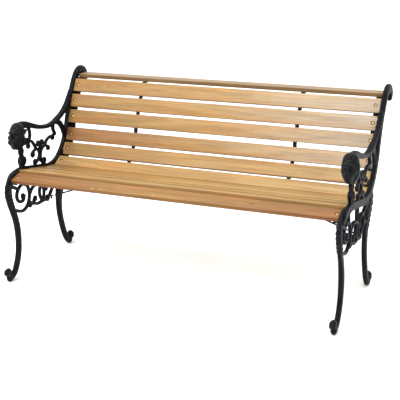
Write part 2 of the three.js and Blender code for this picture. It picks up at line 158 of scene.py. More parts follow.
LOWER_SCROLLS = [
    [[59, 355, 15.5], [81, 344, 14.5], [103, 332, 13]],
    [[68, 263, 14], [100, 246, 13], [129, 239, 13], [157, 248, 13], [175, 272, 13], [178, 300, 13],
     [165, 328, 13], [138, 339, 12], [113, 331, 13], [97, 311, 13], [99, 291, 13], [116, 277, 13],
     [136, 279, 13], [144, 294, 12]],
    [[153, 388, 14.5], [153, 360, 13], [156, 332, 13]],
    [[171, 260, 14], [180, 286, 13], [199, 305, 12], [227, 310, 12], [253, 301, 13]],
    [[263, 303, 12], [249, 285, 12], [248, 260, 12], [260, 239, 12]],
    [[261, 303, 12], [276, 283, 12], [275, 255, 12], [262, 239, 12]],
    [[177, 250, 14.5], [202, 244, 13], [228, 235, 13], [258, 235, 13], [299, 235, 14], [321, 249, 13],
     [341, 265, 13], [384, 266, 15.5]],
    [[206, 244, 12], [204, 254, 12], [213, 262, 12]],
    [[321, 251, 12], [343, 273, 12], [345, 295, 12], [326, 309, 12], [302, 303, 12], [290, 285, 12]],
    [[263, 369, 17.5], [263, 335, 23.5], [262, 301, 13]],
    [[337, 303, 13], [361, 314, 14], [399, 326, 17.5]],
]
LOWER_KNOBS = [
    [135, 294, 12], [178, 248, 14], [214, 260, 12], [292, 277, 12], [299, 235, 14],
]
STAY_LUG = (299, 241, 18)
STAY_LUG_THICKNESS = 14
HEAD_OUT = 7.0
COLUMN_DEPTH = 156
COLUMN_FLATNESS = 0.62
COLUMN_PROFILE = [
    [14, 386], [13, 396], [15.5, 410], [19, 423], [16.5, 436], [11, 445], [14, 456], [13.5, 467],
    [10, 476], [11, 486], [14, 500],
]

# ---- Mesh tools --------------------------------------------------------------------------------


def smooth_line(points, step):
    """Points along the centripetal Catmull-Rom curve through the given ones, about step apart."""
    given = np.array(points, float)
    path = np.vstack([2 * given[0] - given[1], given, 2 * given[-1] - given[-2]])
    samples = []
    for p0, p1, p2, p3 in zip(path, path[1:], path[2:], path[3:]):
        t0, t1, t2 = (np.linalg.norm(b - a) ** 0.5 for a, b in ((p0, p1), (p1, p2), (p2, p3)))
        m1 = t1 * ((p1 - p0) / t0 - (p2 - p0) / (t0 + t1) + (p2 - p1) / t1)
        m2 = t1 * ((p2 - p1) / t1 - (p3 - p1) / (t1 + t2) + (p3 - p2) / t2)
        count = max(1, round(np.linalg.norm((p2 - p1)[:2]) / step))
        for i in range(count):
            t = i / count
            samples.append(
                p1 + m1 * t + (3 * (p2 - p1) - 2 * m1 - m2) * t**2 + (2 * (p1 - p2) + m1 + m2) * t**3
            )
    samples.append(path[-2])
    return np.array(samples)


class Shell:
    """Closed shapes gathered in millimetres as [out, depth, height]."""

    def __init__(self):
        self.vertices = []
        self.faces = []

    def add(self, vertices, faces):
        start = len(self.vertices)
        self.vertices += [tuple(v) for v in vertices]
        self.faces += [tuple(start + i for i in face) for face in faces]

    def loft(self, rings, first=None, last=None):
        """Skins rings of equal length, closed at each end by a point or a flat cap."""
        sides = len(rings[0])
        vertices = [v for ring in rings for v in ring]
        faces = [
            (r * sides + i, r * sides + (i + 1) % sides, (r + 1) * sides + (i + 1) % sides,
             (r + 1) * sides + i)
            for r in range(len(rings) - 1) for i in range(sides)
        ]
        top = (len(rings) - 1) * sides
        if first is None:
            faces.append(tuple(range(sides))[::-1])
        else:
            vertices.append(first)
            faces += [((i + 1) % sides, i, len(vertices) - 1) for i in range(sides)]
        if last is None:
            faces.append(tuple(range(top, top + sides)))
        else:
            vertices.append(last)
            faces += [(top + i, top + (i + 1) % sides, len(vertices) - 1) for i in range(sides)]
        self.add(vertices, faces)

    def stroke(self, points, thickness, out=0.0, square=3.0, step=4.0, sides=20):
        """A bar in the casting's plane: a smooth line of [depth, height, width], round at its ends.

        A fourth value at a point is the bar's own thickness there.
        """
        line = smooth_line(points, step)
        tangents = np.gradient(line[:, :2], axis=0)
        tangents /= np.linalg.norm(tangents, axis=1)[:, None]
        turn = np.linspace(0, 2 * math.pi, sides, endpoint=False)
        across = np.sign(np.cos(turn)) * np.abs(np.cos(turn)) ** (2 / square)
        through = np.sign(np.sin(turn)) * np.abs(np.sin(turn)) ** (2 / square)

        def ring(place, tangent, scale, push):
            normal = np.array([-tangent[1], tangent[0]])
            centre = place[:2] + tangent * push
            in_plane = centre + np.outer(across * scale * place[2] / 2, normal)
            deep = place[3] if len(place) > 3 else thickness
            return np.column_stack([out + through * scale * deep / 2, in_plane])

        caps = [math.radians(a) for a in (72, 50, 25)]
        start, end = line[0], line[-1]
        rings = [ring(start, tangents[0], math.cos(a), -start[2] / 2 * math.sin(a)) for a in caps]
        rings += [ring(p, t, 1, 0) for p, t in zip(line, tangents)]
        rings += [
            ring(end, tangents[-1], math.cos(a), end[2] / 2 * math.sin(a)) for a in reversed(caps)
        ]
        tips = [
            np.array([out, *(p[:2] + t * d * p[2] / 2)])
            for p, t, d in ((start, tangents[0], -1), (end, tangents[-1], 1))
        ]
        self.loft(rings, *tips)

    def tube(self, points, step=2.0, sides=10):
        """A round tapering lock or bead through points of [out, depth, height, radius]."""
        given = np.array(points, float)
        line = smooth_line(given, step)
        tangents = np.gradient(line[:, :3], axis=0)
        tangents /= np.linalg.norm(tangents, axis=1)[:, None]
        side = np.cross(tangents[0], [0.31, 0.53, 0.79])
        rings = []
        for place, tangent in zip(line, tangents):
            side = side - tangent * side.dot(tangent)
            side /= np.linalg.norm(side)
            other = np.cross(tangent, side)
            turn = np.linspace(0, 2 * math.pi, sides, endpoint=False)[:, None]
            reach = place[3] * (np.cos(turn) * side + np.sin(turn) * other)
            rings.append(place[:3] + reach)
        first = line[0][:3] - tangents[0] * line[0][3] * 0.6
        last = line[-1][:3] + tangents[-1] * line[-1][3] * 0.6
        self.loft(rings, first, last)

    def blob(self, centre, radii, axes=None, sides=18):
        """An ellipsoid at [out, depth, height], with its radii along the columns of axes."""
        frame_axes = np.eye(3) if axes is None else np.array(axes, float).T
        rows = []
        for i in range(1, sides // 2):
            polar = math.pi * i / (sides // 2)
            rows.append([
                (math.sin(polar) * math.cos(a), math.sin(polar) * math.sin(a), -math.cos(polar))
                for a in np.linspace(0, 2 * math.pi, sides, endpoint=False)
            ])
        place = lambda p: np.array(centre) + frame_axes @ (np.array(p) * radii)
        self.loft([[place(p) for p in row] for row in rows], place((0, 0, -1)), place((0, 0, 1)))

    def lathe(self, profile, out, depth, lobes=0, lobe_size=0.0, flat=1.0, sides=36):
        """An upright shape through [radius, height], with petals round it, flattened along X."""
        turn = np.linspace(0, 2 * math.pi, sides, endpoint=False)
        rings = []
        for radius, height in smooth_line([[r, h, 0] for r, h in profile], 2.0)[:, :2]:
            wavy = radius * (1 + lobe_size * np.cos(lobes * turn))
            rings.append(np.column_stack([
                out + flat * wavy * np.cos(turn), depth + wavy * np.sin(turn), np.full(sides, height),
            ]))
        self.loft(rings)


def mesh_object(name, vertices, faces):
    """A mesh object from vertices in metres in the frame's axes."""
    mesh = bpy.data.meshes.new(name)
    mesh.from_pydata([tuple(v) for v in vertices], [], [tuple(f) for f in faces])
    shape = bmesh.new()
    shape.from_mesh(mesh)
    bmesh.ops.recalc_face_normals(shape, faces=shape.faces)
    shape.to_mesh(mesh)
    shape.free()
    piece = bpy.data.objects.new(name, mesh)
    bpy.context.scene.collection.objects.link(piece)
    return piece


def in_row(points, side=1):
    """Casting places in millimetres [out, depth, height] to metres in the frame."""
    p = np.array(points, float)
    return np.column_stack([side * (END_X + p[:, 0]), p[:, 1] + DEPTH_ZERO, p[:, 2]]) * MM


def applied(piece):
    """Replaces the mesh by what its modifiers make of it."""
    graph = bpy.context.evaluated_depsgraph_get()
    mesh = bpy.data.meshes.new_from_object(piece.evaluated_get(graph))
    piece.modifiers.clear()
    piece.data = mesh
    return piece


def fused(piece, voxel, smoothing):
    """Melts overlapping shapes into one skin."""
    remesh = piece.modifiers.new("fuse", "REMESH")
    remesh.mode = "VOXEL"
    remesh.voxel_size = voxel * MM
    relax = piece.modifiers.new("relax", "SMOOTH")
    relax.factor = 0.5
    relax.iterations = smoothing
    return applied(piece)


def cut(piece, cutter):
    """Cuts away one closed shape, which is then removed."""
    knife = piece.modifiers.new("cut", "BOOLEAN")
    knife.operation = "DIFFERENCE"
    knife.solver = "MANIFOLD"
    knife.object = cutter
    bpy.context.view_layer.update()
    applied(piece)
    bpy.data.objects.remove(cutter)
    return piece


def shade(piece, angle=35):
    """Smooth shading that keeps edges sharper than the angle."""
    piece.data.shade_smooth()
    piece.data.set_sharp_from_angle(angle=math.radians(angle))
    return piece


def bevelled(piece, width, segments=3, angle=30):
    bevel = piece.modifiers.new("edges", "BEVEL")
    bevel.width = width * MM
    bevel.segments = segments
    bevel.limit_method = "ANGLE"
    bevel.angle_limit = math.radians(angle)
    return applied(piece)


def finish_piece(piece, material, slot, *nodes):
    """Gives a piece its material and its body, and hides the CAD nodes that it stands for."""
    piece.data.materials.clear()
    piece.data.materials.append(material)
    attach(piece, "root")
    if nodes:
        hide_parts(*nodes)
    return piece


# ---- Materials ---------------------------------------------------------------------------------


class Nodes:
    """A short way to build a node tree."""

    def __init__(self, name):
        self.material = bpy.data.materials.new(name)
        self.material.use_nodes = True
        self.tree = self.material.node_tree
        self.shader = self.tree.nodes["Principled BSDF"]

    def add(self, kind, **settings):
        node = self.tree.nodes.new("ShaderNode" + kind)
        for key, value in settings.items():
            if hasattr(node, key):
                setattr(node, key, value)
            else:
                node.inputs[key.replace("_", " ").title()].default_value = value
        return node

    def link(self, source, target):
        self.tree.links.new(source, target)

    def place(self, location=(0, 0, 0), rotation=(0, 0, 0), scale=(1, 1, 1), source=None):
        """Object coordinates moved, turned and scaled."""
        mapping = self.add("Mapping")
        mapping.inputs["Location"].default_value = location
        mapping.inputs["Rotation"].default_value = rotation
        mapping.inputs["Scale"].default_value = scale
        self.link(source or self.add("TexCoord").outputs["Object"], mapping.inputs["Vector"])
        return mapping.outputs["Vector"]

    def noise(self, vector, scale, detail=3.0, roughness=0.5):
        node = self.add("TexNoise")
        node.inputs["Scale"].default_value = scale
        node.inputs["Detail"].default_value = detail
        node.inputs["Roughness"].default_value = roughness
        self.link(vector, node.inputs["Vector"])
        return node.outputs["Fac"]

    def ramp(self, source, *stops):
        node = self.add("ValToRGB")
        elements = node.color_ramp.elements
        while len(elements) < len(stops):
            elements.new(0.5)
        for element, (position, value) in zip(elements, stops):
            element.position = position
            element.color = (*value, 1) if isinstance(value, tuple) else (value, value, value, 1)
        self.link(source, node.inputs["Fac"])
        return node.outputs["Color"]

    def mix(self, factor, first, second, blend="MIX"):
        node = self.add("Mix", data_type="RGBA", blend_type=blend)
        for value, socket in ((factor, node.inputs[0]), (first, node.inputs[6]), (second, node.inputs[7])):
            if isinstance(value, bpy.types.NodeSocket):
                self.link(value, socket)
            else:
                socket.default_value = (*value, 1) if isinstance(value, tuple) else value
        return node.outputs[2]

    def math(self, operation, *values):
        node = self.add("Math", operation=operation)
        for value, socket in zip(values, node.inputs):
            if isinstance(value, bpy.types.NodeSocket):
                self.link(value, socket)
            else:
                socket.default_value = value
        return node.outputs[0]

    def bump(self, height, distance, strength=1.0, below=None):
        node = self.add("Bump")
        node.inputs["Strength"].default_value = strength
        node.inputs["Distance"].default_value = distance
        self.link(height, node.inputs["Height"])
        if below is not None:
            self.link(below, node.inputs["Normal"])
        return node.outputs["Normal"]


def painted_iron(name, roughness=0.40, grit=0.0004, shine=0.06):
    """Black paint on a sand casting: fine grain, soft lumps, and sharp edges made paler, partly rubbed paint
    and partly painted highlight.
    """
    n = Nodes(name)
    place = n.place()
    lumps = n.noise(place, 70, 4, 0.55)
    grain = n.noise(place, 620, 3, 0.6)
    patches = n.noise(place, 14, 3, 0.5)
    paint = n.ramp(patches, (0.3, (0.0022, 0.0028, 0.0042)), (0.7, (0.0042, 0.0050, 0.0070)))
    # Sharp convex edges, broken up by the lumps, get a paler bluish grey: partly paint rubbed thin, partly
    # painted highlight along rims and features.
    edges = n.ramp(n.add("NewGeometry").outputs["Pointiness"], (0.504, 0.0), (0.545, 1.0))
    wear_and_highlight = n.math("MULTIPLY", edges, n.ramp(lumps, (0.40, 0.0), (0.65, 0.6)))
    n.link(n.mix(wear_and_highlight, paint, (0.052, 0.056, 0.068)), n.shader.inputs["Base Color"])
    rough = n.ramp(grain, (0.3, roughness - 0.08), (0.7, roughness + 0.14))
    n.link(rough, n.shader.inputs["Roughness"])
    soft = n.bump(lumps, 0.0020, 0.9)
    n.link(n.bump(grain, grit, 0.8, soft), n.shader.inputs["Normal"])
    n.shader.inputs["Metallic"].default_value = 0.0
    n.shader.inputs["Specular IOR Level"].default_value = shine
    return n.material


def fastener_metal(name, bright, dull, roughness):
    """Plated metal dulled by weather."""
    n = Nodes(name)
    place = n.place()
    stains = n.noise(place, 260, 4, 0.6)
    scratches = n.noise(n.place(scale=(1, 1, 9)), 500, 2, 0.5)
    n.link(n.ramp(stains, (0.38, dull), (0.62, bright)), n.shader.inputs["Base Color"])
    n.link(n.ramp(stains, (0.3, roughness + 0.18), (0.7, roughness)), n.shader.inputs["Roughness"])
    n.link(n.bump(scratches, 0.0002, 0.5), n.shader.inputs["Normal"])
    n.shader.inputs["Metallic"].default_value = 0.9
    return n.material


def slat_wood(slat, tones, shift, pith, knots, edge_stain_and_shade):
    """Oiled hardwood. Growth rings run along the slat round a pith that lies below the board.

    tones are the colours at the slat's left end, middle and right end. edge_stain_and_shade darkens the long
    edges: partly oil taken up by the sawn wood, partly painted shade on edge faces that turn from the light.
    """
    n = Nodes(f"wood_{slat.name}")
    turn = Matrix.Rotation(-slat.tilt, 3, "X")
    middle = Vector((0, *slat.at(0, -SLAT_THICKNESS / 2))) * MM
    local = n.place(location=-(turn @ middle), rotation=(-slat.tilt, 0, 0))
    parts = n.add("SeparateXYZ")
    n.link(local, parts.inputs[0])
    half_length = SLAT_HALF_LENGTH * MM
    share = n.math("MULTIPLY_ADD", parts.outputs["X"], 0.5 / half_length, 0.5)
    base = n.ramp(share, (0.06, tones[0]), (0.5, tones[1]), (0.94, tones[2]))
    swirl = n.place(location=(shift, 0, 0), scale=(1.6, 9, 9), source=local)
    waver = n.add("TexNoise")
    waver.inputs["Scale"].default_value = 1.0
    waver.inputs["Detail"].default_value = 3.0
    n.link(swirl, waver.inputs["Vector"])
    centred = n.add("VectorMath", operation="SUBTRACT")
    n.link(waver.outputs["Color"], centred.inputs[0])
    centred.inputs[1].default_value = (0.5, 0.5, 0.5)
    spread = n.add("VectorMath", operation="MULTIPLY_ADD")
    n.link(centred.outputs[0], spread.inputs[0])
    spread.inputs[1].default_value = (0.0, 0.03, 0.03)
    n.link(local, spread.inputs[2])
    grown = n.place(
        location=(shift, pith[0] * MM, pith[1] * MM), rotation=(0, 0.020, 0.012), source=spread.outputs[0]
    )
    rings = n.add("TexWave", wave_type="RINGS", rings_direction="X", wave_profile="SAW")
    rings.inputs["Scale"].default_value = 34.0
    rings.inputs["Distortion"].default_value = 1.5
    rings.inputs["Detail"].default_value = 2.0
    rings.inputs["Detail Scale"].default_value = 1.2
    n.link(grown, rings.inputs["Vector"])
    fibres = n.noise(n.place(scale=(5, 330, 330), source=local), 1.0, 4, 0.6)
    pores = n.noise(n.place(location=(3, 1, 2), scale=(22, 1300, 1300), source=local), 1.0, 2, 0.5)
    streaks = n.noise(n.place(location=(shift, 5, 5), scale=(4.5, 75, 75), source=local), 1.0, 3, 0.6)
    tints = n.noise(n.place(location=(9, shift, 2), scale=(3.2, 34, 34), source=local), 1.0, 2, 0.5)

    late = n.ramp(rings.outputs["Fac"], (0.0, 0.0), (0.62, 0.25), (0.93, 0.85), (1.0, 0.1))
    colour = n.mix(n.math("MULTIPLY", late, 0.30), base, n.mix(1.0, base, (0.60, 0.48, 0.38), "MULTIPLY"))
    colour = n.mix(1.0, colour, n.ramp(streaks, (0.30, 0.78), (0.70, 1.16)), "MULTIPLY")
    drift = n.ramp(tints, (0.35, (1.03, 0.95, 0.84)), (0.65, (0.98, 1.05, 1.12)))
    colour = n.mix(1.0, colour, drift, "MULTIPLY")
    colour = n.mix(0.7, colour, n.ramp(fibres, (0.25, 0.84), (0.72, 1.08)), "MULTIPLY")
    colour = n.mix(0.6, colour, n.ramp(pores, (0.30, 0.66), (0.42, 1.02)), "MULTIPLY")
    across = n.math("ABSOLUTE", parts.outputs["Y"], 0.0)
    half_width = SLAT_WIDTH / 2 * MM
    # The long edges are darkened: partly oil in the sawn wood, partly painted shade on the edge faces.
    edge_darkening_mask = n.ramp(n.math("DIVIDE", across, half_width), (0.955, 0.0), (0.985, 1.0))
    colour = n.mix(edge_darkening_mask, colour, n.mix(1.0, colour, edge_stain_and_shade, "MULTIPLY"))
    for along, offset_across, size, core in knots:
        offset = n.add("VectorMath", operation="SUBTRACT")
        n.link(spread.outputs[0], offset.inputs[0])
        offset.inputs[1].default_value = (along * MM, offset_across * MM, SLAT_THICKNESS / 2 * MM)
        squeezed = n.add("VectorMath", operation="MULTIPLY")
        n.link(offset.outputs[0], squeezed.inputs[0])
        squeezed.inputs[1].default_value = (1 / (2.6 * size * MM), 1 / (size * MM), 0.4 / (size * MM))
        length = n.add("VectorMath", operation="LENGTH")
        n.link(squeezed.outputs[0], length.inputs[0])
        mask = n.ramp(length.outputs["Value"], (0.25, 1.0), (1.0, 0.0))
        colour = n.mix(mask, colour, core)
    n.link(colour, n.shader.inputs["Base Color"])
    n.link(n.ramp(fibres, (0.3, 0.56), (0.7, 0.40)), n.shader.inputs["Roughness"])
    grain = n.bump(late, 0.0004, 0.3)
    n.link(n.bump(fibres, 0.0005, 0.5, grain), n.shader.inputs["Normal"])
    n.shader.inputs["Specular IOR Level"].default_value = 0.22
    n.shader.inputs["Coat Weight"].default_value = 0.05
    n.shader.inputs["Coat Roughness"].default_value = 0.35
    return n.material


IRON = painted_iron("cast_iron_paint")
HEAD_IRON = painted_iron("lion_head_paint", roughness=0.32, shine=0.11)  # rubbed by hands
STEEL = painted_iron("steel_paint", roughness=0.36, grit=0.0002)
BRASS = fastener_metal("dull_brass", (0.55, 0.36, 0.17), (0.27, 0.165, 0.075), 0.36)

# ---- Lines that follow the slats ---------------------------------------------------------------

SHARP_BEND = math.radians(20)


def line_below_slats(below, start_inset):
    """Follows the row of slats at a distance below their faces, mitred at sharp bends."""
    half = SLAT_WIDTH / 2
    line = [SLATS[0].at(start_inset - half, -below)]
    for here, there in zip(SLATS, SLATS[1:]):
        start, end = here.at(half, -below), there.at(-half, -below)
        if here.tilt - there.tilt < SHARP_BEND:
            line += [start, end]
        else:
            line.append(start + here.along * there.up.dot(end - start) / there.up.dot(here.along))
    line.append(SLATS[-1].at(half, -below))
    return line


def band_below_slats(name, top, thickness, low_x, high_x, start_inset=0.0):
    """A flat bar bent to follow the slats, in metres in the frame."""
    upper = line_below_slats(top, start_inset)
    lower = line_below_slats(top + thickness, start_inset)
    rings = [
        [(x * MM, *(p * MM)) for x, p in ((low_x, a), (high_x, a), (high_x, b), (low_x, b))]
        for a, b in zip(upper, lower)
    ]
    shell = Shell()
    shell.loft(rings)
    return mesh_object(name, shell.vertices, shell.faces)


# ---- End castings ------------------------------------------------------------------------------


def station(line, fraction):
    """Place, unit tangent, unit normal and width at a fraction of a smooth line."""
    i = min(len(line) - 2, int(fraction * (len(line) - 1)))
    tangent = line[i + 1][:2] - line[i][:2]
    tangent /= np.linalg.norm(tangent)
    return line[i][:2], tangent, np.array([-tangent[1], tangent[0]]), line[i][2]


def leaf_scales(shell, points, start, end, rows, thickness, out=0.0, lift=1.5):
    """Overlapping acanthus lobes along a member, three on each face."""
    line = smooth_line(points, 2.0)
    length = np.linalg.norm(np.diff(line[:, :2], axis=0), axis=1).sum() * (end - start)
    spacing = length / rows
    for row in range(rows):
        place, tangent, normal, width = station(line, start + (end - start) * (row + 0.5) / rows)
        for lobe in (-1, 0, 1):
            lean = 0.30 * lobe
            along = tangent * math.cos(lean) + normal * math.sin(lean)
            across = np.array([-along[1], along[0]])
            size = (spacing * (0.74 if lobe else 0.90), width * 0.15)
            spot = place + normal * width * 0.20 * lobe + tangent * (0 if lobe else spacing * 0.25)
            for face in (-1, 1):
                axes = [(0.16 * face, *along), (0, *across), (1, 0, 0)]
                shell.blob(
                    (out + face * (thickness / 2 - 1.2), *spot), (size[0], size[1], lift + 1.2), axes
                )


def leaf(shell, points, thickness, out):
    """One long leaf in the casting's plane with a raised midrib on both faces."""
    shell.stroke(points, thickness, out, square=2.2, step=3.0)
    midrib = [[d, h, max(1.8, w * 0.16)] for d, h, w in points]
    shell.stroke(midrib, thickness + 3.0, out, square=2.0, step=3.0, sides=12)


def offset_line(points, shift):
    """A line beside another: shift is a share of the half width."""
    line = smooth_line(points, 10.0)
    tangents = np.gradient(line[:, :2], axis=0)
    tangents /= np.linalg.norm(tangents, axis=1)[:, None]
    normals = np.column_stack([-tangents[:, 1], tangents[:, 0]])
    return line[:, :2] + normals * (line[:, 2] / 2 * shift)[:, None]


def edge_beads(shell, points, out, inset=0.74, radius=1.7):
    """A pair of fine raised beads along a member's face."""
    for shift in (-inset, inset):
        beside = offset_line(points, shift)
        shell.tube([(out, *p, radius) for p in beside], step=3.0, sides=8)


RAIL = []
for rail_slat, rim in zip(SLATS, RIM_ABOVE_SLATS):
    rail_depth = rim + SLAT_THICKNESS + LEDGE_THICKNESS
    rail_middle = rail_slat.at(0, rim - rail_depth / 2) - (DEPTH_ZERO, 0)
    RAIL.append([*rail_middle, rail_depth])
RAIL = [[66, 366, 24]] + RAIL


def scroll_volute(shell, depth, height, radius, turn, out_half, hand=1):
    """A raised spiral bead on both faces of a rolled end."""
    steps = 22
    for face in (-1, 1):
        points = []
        for i in range(steps):
            t = i / (steps - 1)
            reach = radius * (0.86 - 0.70 * t)
            a = turn + hand * t * 2.6 * math.pi
            points.append((
                face * (out_half + 0.4 - 1.2 * t), depth + reach * math.cos(a), height + reach * math.sin(a),
                1.9 - 0.4 * t,
            ))
        shell.tube(points, step=1.5, sides=8)


def casting_shell():
    """The right end casting, without the lion's head."""
    shell = Shell()
    shell.stroke(FRONT_LEG, LEG_THICKNESS, square=2.8)
    shell.stroke(REAR_LEG, LEG_THICKNESS, square=2.8)
    for depth, height, radius in FEET:
        shell.blob((0, depth, height), (LEG_THICKNESS * 0.62, radius, radius))
    scroll_volute(shell, 0, 38, 16, -0.4 * math.pi, LEG_THICKNESS * 0.52, hand=-1)
    scroll_volute(shell, 445, 33, 16, -0.6 * math.pi, LEG_THICKNESS * 0.52)
    shell.stroke(RAIL, RIM_THICKNESS, RIM_OUT, square=5.0)
    shell.stroke(POST_SCROLL, 19.5, 8.0, square=3.2)
    shell.stroke(ARM, ARM_THICKNESS, RIM_OUT, square=2.6)
    shell.stroke(ARM_ROOT, RIM_THICKNESS + 1, RIM_OUT, square=3.2)
    edge_beads(shell, RAIL, RIM_OUT + RIM_THICKNESS / 2 - 0.2)
    edge_beads(shell, ARM_ROOT, RIM_OUT + RIM_THICKNESS / 2 + 0.2)
    for scrolls, out in ((UPPER_SCROLLS, RIM_OUT), (LOWER_SCROLLS, 0)):
        for scroll in scrolls:
            shell.stroke(scroll, SCROLL_THICKNESS, out, square=2.6, step=2.5, sides=16)
    for knobs, out in ((UPPER_KNOBS, RIM_OUT), (LOWER_KNOBS, 0)):
        for depth, height, radius in knobs:
            shell.blob((out, depth, height), (8.0, radius, radius))
    leaf_scales(shell, FRONT_LEG, 0.14, 0.36, 6, FRONT_LEG[3][3])
    leaf_scales(shell, REAR_LEG, 0.10, 0.40, 6, REAR_LEG[2][3])
    shell.lathe(COLUMN_PROFILE, RIM_OUT, COLUMN_DEPTH, lobes=6, lobe_size=0.10, flat=COLUMN_FLATNESS)
    leaf(shell, [[168, 408, 9], [177, 418, 12], [176, 432, 9]], 13, RIM_OUT)
    leaf(shell, [[410, 514, 13], [434, 502, 25], [452, 477, 24], [462, 440, 13]], 15, RIM_OUT)
    leaf(shell, [[263, 369, 11], [263, 340, 22], [262, 306, 8]], 14, 0)
    leaf(shell, [[168, 502, 10], [190, 497, 17], [212, 493, 7]], 15, RIM_OUT)
    leaf(shell, [[164, 517, 10], [182, 523, 14], [198, 533, 6]], 15, RIM_OUT)
    root_line = smooth_line(ARM_ROOT, 2.0)
    for i in range(7):
        root, tangent, normal, width = station(root_line, 0.18 + 0.11 * i)
        for face in (-1, 1):
            x = RIM_OUT + face * (RIM_THICKNESS / 2 + 0.4)
            a = root - normal * width * 0.38
            b = root + normal * width * 0.36 + tangent * 9
            shell.tube([(x, *a, 1.7), (x + face * 0.8, *((a + b) / 2), 2.2), (x, *b, 1.1)], step=2.0)
    lug_depth, lug_height, lug_width = STAY_LUG
    lug = [[lug_depth, lug_height, lug_width], [lug_depth + 0.1, lug_height, lug_width]]
    shell.stroke(lug, STAY_LUG_THICKNESS, square=2.5)
    return shell


def lion_head_shell():
    """A lion's face looking forward from the arm, in a mane of long low locks."""
    shell = Shell()
    middle = np.array([HEAD_OUT, 140, 520.0])
    mane_radii = np.array([31.0, 23.0, 50.5])
    shell.blob(middle, mane_radii, sides=36)
    shell.blob((HEAD_OUT - 1, 145, 546), (27, 22, 27), sides=30)
    shell.blob((HEAD_OUT, 123, 530), (20, 14, 25), sides=26)
    shell.blob((HEAD_OUT, 115, 507), (20, 16.5, 20), sides=26)
    shell.blob((HEAD_OUT, 120, 489), (14, 14, 13), sides=22)
    shell.blob((HEAD_OUT, 99.5, 517), (5.0, 3.6, 3.2))
    shell.tube([(HEAD_OUT, 100, 518, 4.4), (HEAD_OUT, 104, 531, 4.8), (HEAD_OUT, 109, 546, 6.0)])
    for side in (-1, 1):
        def at(out, depth, height):
            return (HEAD_OUT + side * out, depth, height)
        shell.blob(at(8, 105, 507), (9.0, 8.0, 8.5))
        shell.blob(at(16, 121, 519), (9, 11, 12))
        shell.blob(at(9, 109, 532), (3.2, 2.8, 2.6))
        shell.tube([
            (*at(3, 107.5, 540), 3.0), (*at(9, 108, 543), 3.6), (*at(17, 114, 539), 2.8),
        ])
        shell.tube([(*at(3, 99.5, 502), 1.2), (*at(9, 101, 499.5), 1.5), (*at(14, 108, 501), 1.2)])

    def on_mane(around, back, lift):
        direction = np.array([
            math.sin(back) * math.cos(around), -math.cos(back), math.sin(back) * math.sin(around),
        ])
        return middle + direction * (mane_radii + lift)

    rows = ((44, 88, 17, 2.6), (72, 118, 20, 2.8), (102, 150, 20, 2.8))
    for row, (start, end, count, radius) in enumerate(rows):
        for i in range(count):
            around = 2 * math.pi * (i + 0.5 * (row % 2)) / count
            sway = 0.20 * math.sin(5.0 * i + 2.0 * row)
            points = []
            for t, share in ((0, 0.6), (0.35, 1.0), (0.7, 0.85), (1, 0.4)):
                back = math.radians(start + (end - start) * t)
                lift = -1.9 + 0.6 * math.sin(math.pi * t)
                points.append((*on_mane(around + sway * t, back, lift), radius * share))
            shell.tube(points, step=2.5)
    return shell


def slat_room(slat):
    """The space a slat takes at the right end casting, as a closed box."""
    edge = SLAT_WIDTH / 2 + ROOM
    outline = [
        slat.at(f, u) * MM
        for f, u in ((-edge, -SLAT_THICKNESS), (edge, -SLAT_THICKNESS), (edge, ROOM), (-edge, ROOM))
    ]
    low, high = (SLAT_HALF_LENGTH - 60) * MM, (SLAT_HALF_LENGTH + ROOM) * MM
    shell = Shell()
    shell.loft([[(low, *p) for p in outline], [(high, *p) for p in outline]])
    return mesh_object("slat_room", shell.vertices, shell.faces)


def mirrored(piece, name):
    """The same piece on the other end of the bench."""
    mesh = piece.data.copy()
    mesh.transform(Matrix.Scale(-1, 4, (1, 0, 0)))
    mesh.flip_normals()
    other = bpy.data.objects.new(name, mesh)
    bpy.context.scene.collection.objects.link(other)
    return other


def make_end_castings():
    body = casting_shell()
    casting = mesh_object("end_casting_body_right", in_row(body.vertices), body.faces)
    ledge = band_below_slats(
        "ledge", SLAT_THICKNESS + 0.4, LEDGE_THICKNESS, END_X - LEDGE_REACH, END_X + 3
    )
    casting = joined([casting, ledge], "end_casting_body_right")
    fused(casting, CAST_VOXEL, 2)
    for slat in SLATS:
        cut(casting, slat_room(slat))
    ground = box_object("below_ground", (END_X - 60, -500, -40), (END_X + 60, 500, 0))
    cut(casting, ground)
    shade(casting)
    head_shell = lion_head_shell()
    head = mesh_object("lion_head_right", in_row(head_shell.vertices), head_shell.faces)
    shade(fused(head, HEAD_VOXEL, 1))
    for piece, stem, paint in ((casting, "end_casting_body", IRON), (head, "lion_head", HEAD_IRON)):
        other = mirrored(piece, f"{stem}_left")
        finish_piece(other, paint, "cast_iron", "end_casting_left")
        finish_piece(piece, paint, "cast_iron", "end_casting_right")


def box_object(name, low, high):
    """A closed box between two corners in millimetres."""
    shell = Shell()
    corners = ((0, 0), (1, 0), (1, 1), (0, 1))
    pick = (low, high)
    shell.loft([
        [(pick[i][0] * MM, pick[j][1] * MM, pick[k][2] * MM) for i, j in corners] for k in (0, 1)
    ])
    return mesh_object(name, shell.vertices, shell.faces)


def joined(pieces, name):
    """Several objects made into one."""
    shape = bmesh.new()
    for piece in pieces:
        shape.from_mesh(piece.data)
        bpy.data.objects.remove(piece)
    mesh = bpy.data.meshes.new(name)
    shape.to_mesh(mesh)
    shape.free()
    whole = bpy.data.objects.new(name, mesh)
    bpy.context.scene.collection.objects.link(whole)
    return whole


# ---- Slats and their bolts ---------------------------------------------------------------------

EDGE_ROUND = 1.8
COUNTERBORE_RADIUS = 7.2
COUNTERBORE_DEPTH = 4.5
BOLT_HOLE_RADIUS = 3.7


def turned(name, profile, sides=32):
    """A turned shape about local Z from [radius, height] in millimetres, closed on its axis."""
    shell = Shell()
    turn = np.linspace(0, 2 * math.pi, sides, endpoint=False)
    rings = [
        np.column_stack([r * np.cos(turn), r * np.sin(turn), np.full(sides, h)]) * MM
        for r, h in profile if r > 0
    ]
    first, last = (np.array([0, 0, profile[i][1]]) * MM for i in (0, -1))
    shell.loft(rings, first, last)
    return mesh_object(name, shell.vertices, shell.faces)


